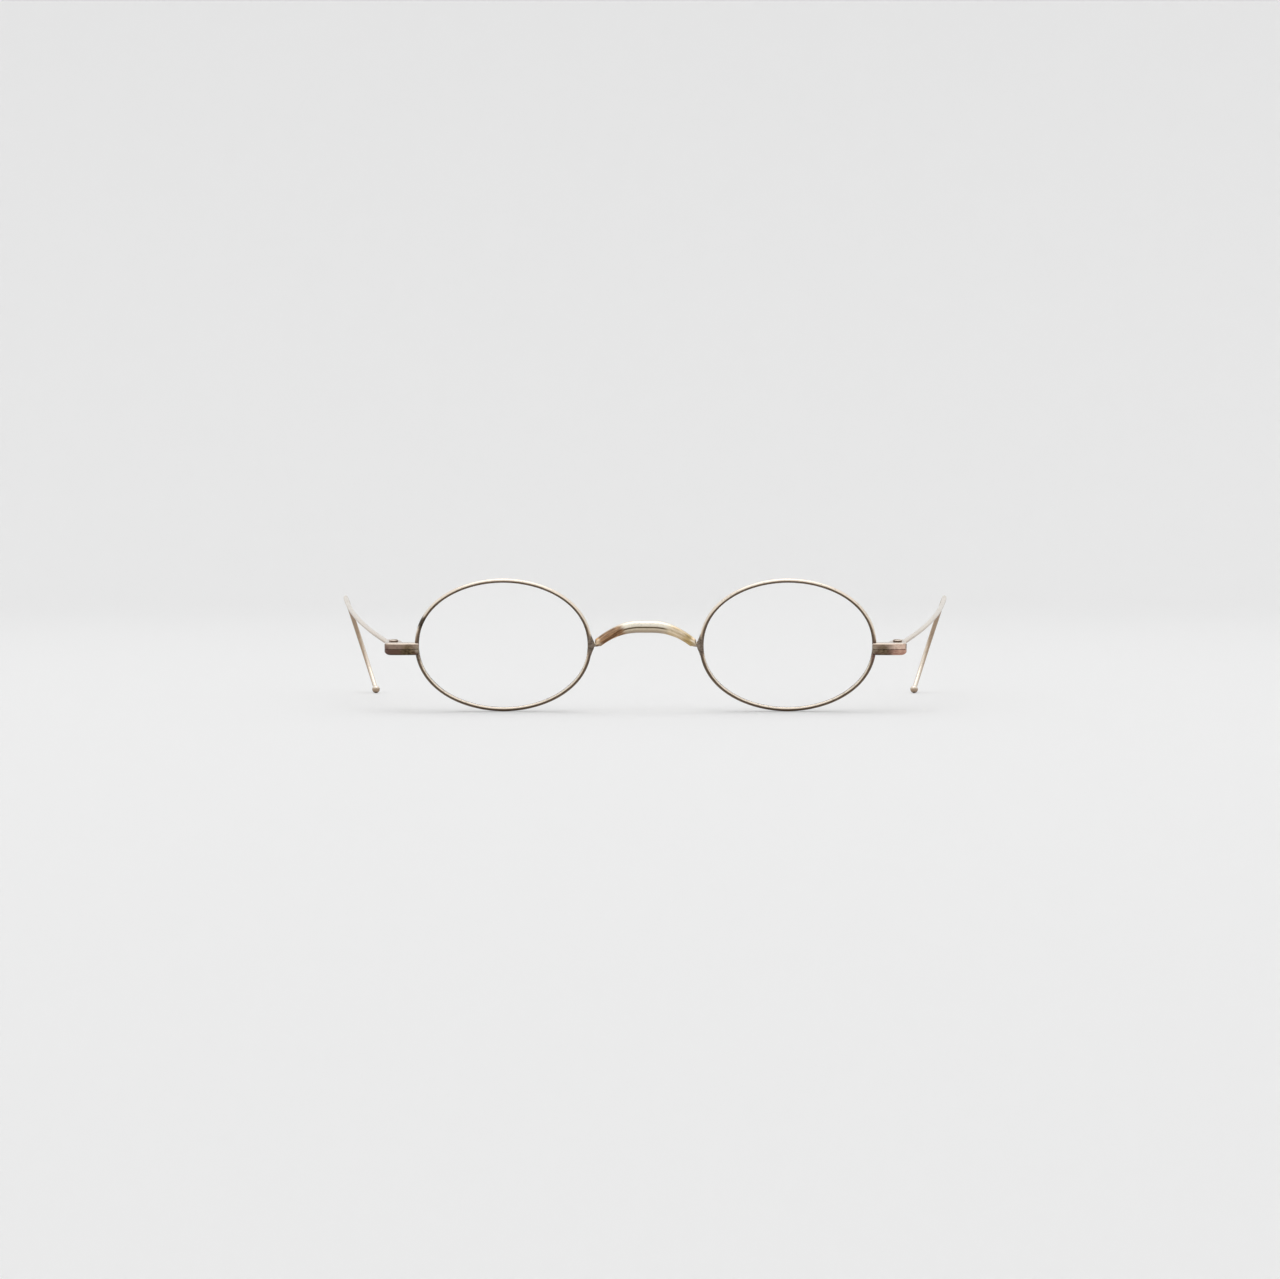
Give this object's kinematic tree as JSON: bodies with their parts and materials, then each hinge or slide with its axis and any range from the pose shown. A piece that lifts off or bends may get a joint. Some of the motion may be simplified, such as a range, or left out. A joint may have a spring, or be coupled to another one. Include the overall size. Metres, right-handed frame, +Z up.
{
  "type": "oval wire eyeglasses",
  "caption": "Oval wire eyeglasses with grooved gold-filled rims, clear lenses, a saddle bridge, split end pieces and folding wire temples with ear hooks.",
  "frame": {"origin": "middle of the footprint, on the surface that the open glasses stand on", "axes": "+X towards the wearer's left, -Y the way the lenses face, +Y towards the ear hooks, +Z up"},
  "size_m": [0.1442, 0.1064, 0.0289],
  "materials": {
    "eyewire_gold": "worn polished gold-filled wire",
    "bridge_gold": "worn polished gold-filled band",
    "endpiece_gold": "gold-filled, dulled and browned at the joints",
    "temple_gold": "polished gold-filled wire",
    "screw_gold": "worn screw head",
    "lens_glass": "clear polished crown glass"
  },
  "bodies": {
    "front": {"left_eyewire": "eyewire_gold", "right_eyewire": "eyewire_gold", "left_lens": "lens_glass", "right_lens": "lens_glass", "bridge": "bridge_gold", "left_endpiece_upper": "endpiece_gold", "left_endpiece_lower": "endpiece_gold", "right_endpiece_upper": "endpiece_gold", "right_endpiece_lower": "endpiece_gold", "left_hinge_screw": "screw_gold", "right_hinge_screw": "screw_gold"},
    "left_temple": {"left_temple_joint": "temple_gold", "left_temple_wire": "temple_gold", "left_temple_tip": "temple_gold"},
    "right_temple": {"right_temple_joint": "temple_gold", "right_temple_wire": "temple_gold", "right_temple_tip": "temple_gold"}
  },
  "joints": [
    {"name": "left_temple_fold", "type": "hinge", "parent": "front", "child": "left_temple", "pos_m": [0.05467, -0.04856, 0.01391], "axis": [0, -0.1007, 0.9949], "range_deg": [0, 82]},
    {"name": "right_temple_fold", "type": "hinge", "parent": "front", "child": "right_temple", "pos_m": [-0.05467, -0.04856, 0.01391], "axis": [0, 0.1007, -0.9949], "range_deg": [0, 98]}
  ]
}
